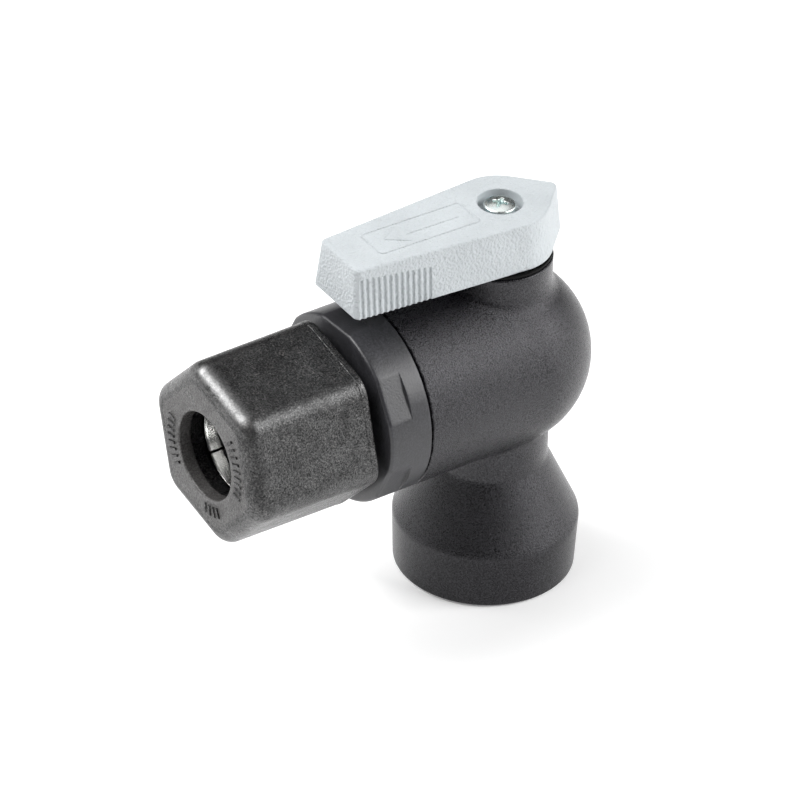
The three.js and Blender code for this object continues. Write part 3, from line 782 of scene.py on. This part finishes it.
def tick(ang, r0, r1, half, high):
    """A small raised bar with sloped sides on the nut's front face."""
    pts = []
    for x, g in ((NUT_A + 0.15, 0.04), (NUT_A - high * 0.5, 0.02), (NUT_A - high, -0.06)):
        for r, s in ((r0 - g, -1), (r1 + g, -1), (r1 + g, 1), (r0 - g, 1)):
            w = (half + g) * s
            pts.append((x, r * math.cos(ang) - w * math.sin(ang), H + r * math.sin(ang) + w * math.cos(ang)))
    faces = [(0, 1, 2, 3), (11, 10, 9, 8)]
    for k in (0, 4):
        for i in range(4):
            j = (i + 1) % 4
            faces.append((k + i, k + 4 + i, k + 4 + j, k + j))
    v = np.array(pts)
    f = outward(v, np.array(faces))
    return v, f


build_nut()

# ---- rings and seals ------------------------------------------------------------
def build_grab_ring():
    prof = rounded([(6.9, -44.1), (7.1, -44.1), (7.1, -41.75), (8.55, -41.75), (8.55, -41.2), (6.5, -41.2), (6.5, -42.3)],
                   [0.03, 0.03, 0.15, 0.1, 0.1, 0.2, 0.4], 3)
    prof = densify(prof, 0.4)
    gap = 0.20 / 6.8
    mid = math.radians(-39.0)
    a = np.linspace(mid + gap, mid + 2 * math.pi - gap, 241)[None, :]
    R, X = prof[:, :1] + 0 * a, prof[:, 1:] + 0 * a
    pts = axis_points("x", R, X, a + 0 * R)
    v, f = wrap_mesh(pts, close_ring=False)
    m, n = R.shape
    idx = np.arange(m * n).reshape(m, n)
    faces = [tuple(q) for q in f] + [tuple(idx[:, 0]), tuple(idx[::-1, -1])]
    # the grid's faces point outwards only if the volume says so
    if outward(v, f)[0, 0] != f[0, 0]:
        faces = [tuple(q[::-1]) for q in faces]
    ob = make("grab_ring_steel", v, faces, mat_steel, "gripper", "grab_ring", smooth_angle=50)
    return ob


build_grab_ring()
turned("spacer_ring", "x", rounded([(6.55, -40.9), (8.3, -40.9), (8.3, -38.6), (6.55, -38.6)], 0.2, 4), mat_spacer, "gripper", "spacer")
turned("tube_seal", "x", circle_profile(7.45, 0.9, -36.1), mat_rubber, "valve", "tube_o_ring")
turned("connector_seal", "x", circle_profile(9.7, 0.65, -16.0), mat_rubber, "valve", "connector_o_ring")


def seat_profile(side):
    arc = [(r, math.sqrt(8.45 ** 2 - r * r)) for r in np.linspace(4.9, 6.5, 9)]
    p = arc + [(7.6, arc[-1][1]), (7.6, 7.4), (5.95, 7.4), (5.95, 8.9), (4.9, 8.9)]
    rad = [0.1] + [0] * 8 + [0.15, 0.1, 0.1, 0.1, 0.1]
    return rounded([(r, side * x) for r, x in p], rad, 3)


turned("front_seat_ring", "x", seat_profile(-1), mat_seat, "valve", "front_seat")
turned("rear_seat_ring", "x", seat_profile(1), mat_seat, "valve", "rear_seat")
turned("front_seat_seal", "x", circle_profile(6.85, 0.6, -8.3, 18), mat_rubber, "valve", "front_seat_o_ring")
turned("rear_seat_seal", "x", circle_profile(6.85, 0.6, 8.3, 18), mat_rubber, "valve", "rear_seat_o_ring")
turned("thrust_washer_ring", "z", rounded([(4.1, 45.75), (4.95, 45.75), (4.95, 46.15), (4.1, 46.15)], 0.08, 3), mat_washer, "valve", "stem_thrust_washer", 96)
turned("lower_stem_seal", "z", circle_profile(3.2, 0.6, 48.05, 18), mat_rubber, "lever", "lower_stem_o_ring", 96)
turned("upper_stem_seal", "z", circle_profile(3.2, 0.6, 50.25, 18), mat_rubber, "lever", "upper_stem_o_ring", 96)


# ---- ball and stem ----------------------------------------------------------------
def ball_distance(x, y, z):
    zz = z - H
    d = np.sqrt(x * x + y * y + zz * zz) - 8.2
    side = np.maximum(np.hypot(y, zz) - 4.6, x)
    down = np.maximum(np.hypot(x, y) - 4.6, zz)
    elbow = np.sqrt(x * x + y * y + zz * zz) - 4.6
    slot = r_max(np.abs(y) - 1.6, 41.0 - z, 0.15)
    hollow = np.minimum(np.minimum(side, down), np.minimum(elbow, slot))
    return r_max(d, -hollow, 0.15)


def build_ball():
    h = 0.3
    g = lines(-8.5, 8.5, h)
    v, f = sdf_mesh(ball_distance, g, g + 0.0, lines(H - 8.5, H + 8.5, h))
    make("ball_core", v, f, mat_ball, "lever", "ball")


build_ball()


def local_turn(x, y, deg):
    """Into the lever's own frame."""
    c, s = math.cos(math.radians(-deg)), math.sin(math.radians(-deg))
    return x * c - y * s, x * s + y * c


def stem_distance(x, y, z):
    rho = np.hypot(x, y)
    shaft = np.maximum(rho - 3.8, np.maximum(44.5 - z, z - 52.0))
    collar = r_max(rho - 4.9, np.abs(z - 44.675) - 0.825, 0.15)
    tang = r_max(r_max(np.abs(x) - 3.5, np.abs(y) - 1.3, 0.2), np.maximum(41.3 - z, z - 44.3), 0.15)
    lx, ly = local_turn(x, y, HANDLE_TURN)
    sq = r_max(r_max(np.abs(lx) - 2.5, np.abs(ly) - 2.5, 0.3), np.maximum(51.5 - z, z - 56.9), 0.2)
    d = np.minimum(np.minimum(shaft, collar), np.minimum(tang, sq))
    for c in (48.05, 50.25):
        d = np.maximum(d, -np.maximum(2.3 - rho, np.abs(z - c) - 0.75))
    hole = np.maximum(rho - 1.55, 50.4 - z)
    return np.maximum(d, -hole)


def build_stem():
    h = 0.16
    g = lines(-5.2, 5.2, h)
    v, f = sdf_mesh(stem_distance, g, g + 0.0, lines(41.0, 57.2, h))
    make("stem_core", v, f, mat_stem, "lever", "stem", smooth_angle=45)


build_stem()


# ---- lever ----------------------------------------------------------------------
def outline(x, y, t):
    """Distance to the lever's outline at height share t, negative inside."""
    ya = np.abs(y)
    R, c = 7.11 - 0.27 * t, 0.70 * (1 - t)
    ex, ey = -27.08 + 0.31 * t, 5.60 - 0.97 * t
    L = np.hypot(c - ex, ey)
    d = np.arctan2(-ey, c - ex) + np.arcsin(R / L)
    nx, ny = -np.sin(d), np.cos(d)
    side = (x - ex) * nx + (ya - ey) * ny
    n1 = ((x - c) + y) / math.sqrt(2) - R
    n2 = ((x - c) - y) / math.sqrt(2) - R
    nose = r_max(n1, n2, 1.0)
    ang = np.arctan2(ya, x - c)
    ta = np.arctan2(ny, nx)
    hub = np.hypot(x - c, ya) - R
    hull = np.where(ang >= ta, side, np.where(ang >= math.pi / 4, hub, nose))
    return r_max(hull, ex - x, 0.9)


def side_y(x, t):
    R, c = 7.11 - 0.27 * t, 0.70 * (1 - t)
    ex, ey = -27.08 + 0.31 * t, 5.60 - 0.97 * t
    d = np.arctan2(-ey, c - ex) + np.arcsin(R / np.hypot(c - ex, ey))
    return ey + np.tan(d) * (x - ex)


def lever_distance(x, y, z):
    t = (z - HANDLE_BOT) / (HANDLE_TOP - HANDLE_BOT)
    tc = np.clip(t, 0, 1)
    d = outline(x, y, tc)
    d = r_max(d, z - HANDLE_TOP, 0.38)
    # raised outline and arrow on the top face
    q = np.hypot(np.maximum(np.abs(x + 13.3) - 7.6, 0), np.maximum(np.abs(y) - 2.2, 0)) + np.minimum(np.maximum(np.abs(x + 13.3) - 7.6, np.abs(y) - 2.2), 0)
    frame_line = np.abs(q - 0.5) - 0.17
    shaft = np.maximum(np.abs(x + 11.6) - 4.4, np.abs(y) - 0.42)
    head = np.maximum((-(x + 19.2) + 1.5 * np.abs(y)) / 1.803, x + 16.0)
    mark = np.minimum(frame_line, np.minimum(shaft, head))
    raised = r_max(mark, np.abs(z - HANDLE_TOP) - 0.16, 0.10)
    d = r_union(d, raised, 0.06)
    d = r_max(d, HANDLE_BOT - z, 0.18)
    # grip grooves
    i = np.clip(np.round((x + 26.1) / 0.89), 0, 12)
    gx = -26.1 + 0.89 * i
    top = 58.7 - 0.075 * i
    gy = side_y(gx, tc) + 0.05
    g = np.hypot(x - gx, np.abs(y) - gy) - 0.29
    g = r_max(g, z - top, 0.25)
    d = r_max(d, -g, 0.05)
    # cored underside
    for x0, x1 in ((-25.6, -20.0), (-19.0, -13.4), (-12.4, -6.8)):
        w = 3.7 + 0.07 * (x + 26.0)
        dr = 0.035 * (z - HANDLE_BOT)
        c = r_max(r_max(np.abs(x - (x0 + x1) / 2) - (x1 - x0) / 2 + dr, np.maximum(0.5 + dr - np.abs(y), np.abs(y) - w + dr), 0.3), z - 58.3, 0.3)
        d = r_max(d, -c, 0.1)
    # socket, screw hole, head recess, slot for the stop lug
    sq = r_max(r_max(np.abs(x) - 2.75, np.abs(y) - 2.75, 0.2), z - 57.15, 0.1)
    rho = np.hypot(x, y)
    hole = np.maximum(rho - 1.55, 56.0 - z)
    recess = r_max(rho - 3.2 - 0.02 * (z - 58.15), 58.15 - z, 0.2)
    th = np.degrees(np.arctan2(y, x)) + HANDLE_TURN - 2.0
    slot = r_max(r_max(np.abs(rho - 5.225) - 0.825, (np.abs(th) - 59.0) * rho * 0.01745, 0.15), z - 54.6, 0.15)
    d = r_max(d, -np.minimum(sq, slot), 0.06)
    d = np.maximum(d, -hole)
    d = r_max(d, -recess, 0.16)
    return d


def turn_points(v, deg):
    c, s = math.cos(math.radians(deg)), math.sin(math.radians(deg))
    out = v.copy()
    out[:, 0], out[:, 1] = c * v[:, 0] - s * v[:, 1], s * v[:, 0] + c * v[:, 1]
    return out


def build_lever():
    h = 0.19
    xs = lines(-27.5, 10.6, h, [(-26.1 + 0.89 * 6, 5.9, 0.11)])
    ys = lines(-7.6, 7.6, h, [(-5.6, 0.9, 0.12), (5.6, 0.9, 0.12), (-2.7, 0.3, 0.09), (2.7, 0.3, 0.09), (0, 0.4, 0.1)])
    zs = lines(52.4, 60.6, h, [(60.2, 0.25, 0.06), (52.7, 0.3, 0.1)])
    v, f = sdf_mesh(lever_distance, xs, ys, zs)
    print("lever raw", len(f))
    ob = make("lever_grip", turn_points(v, HANDLE_TURN), f, mat_handle, "lever", "handle")
    if 2 * len(f) > 190000:
        thin(ob, 180000 / (2 * len(f)))
    co = points_of(ob)
    rho = np.hypot(co[:, 0], co[:, 1])
    mark(ob, "polish", np.clip((3.33 - rho) / 0.1, 0, 1) * np.clip((60.19 - co[:, 2]) / 0.1, 0, 1))
    return ob


build_lever()


def disc_distance(x, y, z):
    rho = np.hypot(x, y)
    d = r_max(rho - 7.62, np.abs(z - 52.29) - 0.21, 0.1)
    sq = np.maximum(np.abs(x) - 2.75, np.abs(y) - 2.75)
    th = np.degrees(np.arctan2(y, x)) + HANDLE_TURN - 2.0
    slot = np.maximum(np.abs(rho - 5.225) - 0.825, (np.abs(th) - 59.0) * rho * 0.01745)
    return np.maximum(d, -np.minimum(sq, slot))


def build_disc():
    g = lines(-8.1, 8.1, 0.16)
    v, f = sdf_mesh(disc_distance, g, g + 0.0, lines(51.98, 52.62, 0.06))
    # its near-black material is partly painted shade of the gap under the lever
    make("stop_disc_plate", turn_points(v, HANDLE_TURN), f, mat_disc_painted_shade, "lever", "stop_disc", smooth_angle=45)


build_disc()


# ---- screw ------------------------------------------------------------------------
def screw_distance(x, y, z):
    rho = np.hypot(x, y)
    # pan head: flat under, short wall, domed top
    dome = np.sqrt(rho * rho + (z - 52.75) ** 2) - 7.4
    head = r_max(r_max(rho - 2.3, 58.45 - z, 0.1), dome, 0.22)
    ph = (z - 51.0) / 0.45 - np.arctan2(y, x) / (2 * np.pi)
    w = np.abs(ph - np.round(ph)) * 2
    shank = (rho - (1.0 + 0.22 * (1 - w) * np.clip((58.0 - z) / 0.3, 0, 1))) * 0.7
    shank = np.maximum(shank, np.maximum(z - 58.6, (51.0 - z) + np.maximum(rho - 0.6, 0) * 0.8))
    d = np.minimum(head, shank)
    # cross recess: two tapered wings and a conical middle
    a = math.radians(38.0)
    u, v = x * math.cos(a) + y * math.sin(a), -x * math.sin(a) + y * math.cos(a)
    deep = 60.35 - z
    wing = lambda p, q: r_max(np.abs(p) - (1.22 - 0.33 * deep), np.abs(q) - (0.27 - 0.05 * deep), 0.06)
    cross = np.minimum(wing(u, v), wing(v, u))
    core = rho - (0.62 - 0.22 * deep)
    cross = r_union(cross, core, 0.2)
    cross = np.maximum(cross, 58.95 - z)
    return r_max(d, -cross, 0.05)


def build_screw():
    g = lines(-2.45, 2.45, 0.075)
    zs = lines(50.9, 60.4, 0.10, [(59.7, 0.6, 0.065)])
    v, f = sdf_mesh(screw_distance, g, g + 0.0, zs)
    make("pan_head_screw", turn_points(v, HANDLE_TURN), f, mat_zinc, "lever", "handle_screw")
    print("screw", len(f))


build_screw()


# ---- floor and light ----------------------------------------------------------------
def build_stage():
    me = bpy.data.meshes.new("floor")
    s = 3.0
    me.from_pydata([(-s, -s, -0.0002), (s, -s, -0.0002), (s, s, -0.0002), (-s, s, -0.0002)], [], [(0, 1, 2, 3)])
    ob = bpy.data.objects.new("floor", me)
    bpy.context.scene.collection.objects.link(ob)
    k = Mat("pale_floor")
    n = k.noise(4.0, 2.0)
    k.color(k.ramp(n, 0, [(0.3, (0.93, 0.93, 0.93)), (0.7, (0.94, 0.94, 0.94))]), 0)
    k.rough(k.span(n, 0, 0.9, 0.95), 0)
    k.set(Specular_IOR_Level=0.1, Emission_Color=(1.0, 1.0, 1.0, 1.0), Emission_Strength=0.20)
    me.materials.append(k.m)


def area(name, place, aim, size, power, color=(1, 1, 1), size_y=None):
    data = bpy.data.lights.new(name, "AREA")
    data.shape = "RECTANGLE"
    data.size = size
    data.size_y = size_y or size
    data.energy = power
    data.color = color
    ob = bpy.data.objects.new(name, data)
    bpy.context.scene.collection.objects.link(ob)
    ob.location = Vector(place)
    ob.rotation_mode = "QUATERNION"
    ob.rotation_quaternion = (Vector(place) - Vector(aim)).to_track_quat("Z", "Y")
    return ob


def softbox(name, az, el, size, power, dist=1.0):
    """A square light at an azimuth from +X and an elevation, aimed at the valve."""
    a, e = math.radians(az), math.radians(el)
    aim = Vector((-0.016, 0, 0.03))
    d = Vector((math.cos(a) * math.cos(e), math.sin(a) * math.cos(e), math.sin(e)))
    return area(name, tuple(aim + d * dist), tuple(aim), size, power)


def build_light():
    world = bpy.data.worlds.new("studio")
    bpy.context.scene.world = world
    world.use_nodes = True
    t = world.node_tree
    t.nodes.clear()
    out = t.nodes.new("ShaderNodeOutputWorld")
    bg = t.nodes.new("ShaderNodeBackground")
    bg.inputs["Color"].default_value = (1.0, 1.0, 1.0, 1)
    bg.inputs["Strength"].default_value = 0.03
    t.links.new(bg.outputs[0], out.inputs[0])
    for name, az, el, size, power in (
            ("left_softbox", 145, 45, 0.6, 8.9), ("left_softbox_front", 170, 55, 0.6, 2.9), ("left_softbox_back", 120, 52, 0.6, 2.4),
            ("right_softbox", 315, 34, 0.6, 8.5), ("right_softbox_low", 318, 12, 0.6, 1.9), ("right_softbox_back", 345, 30, 0.6, 1.1),
            ("back_panel", 54, 60, 0.6, 1.2), ("top_panel", 0, 89, 0.7, 0.5)):
        softbox(name, az, el, size, power)


build_stage()
build_light()
bpy.context.scene.view_settings.view_transform = "Standard"
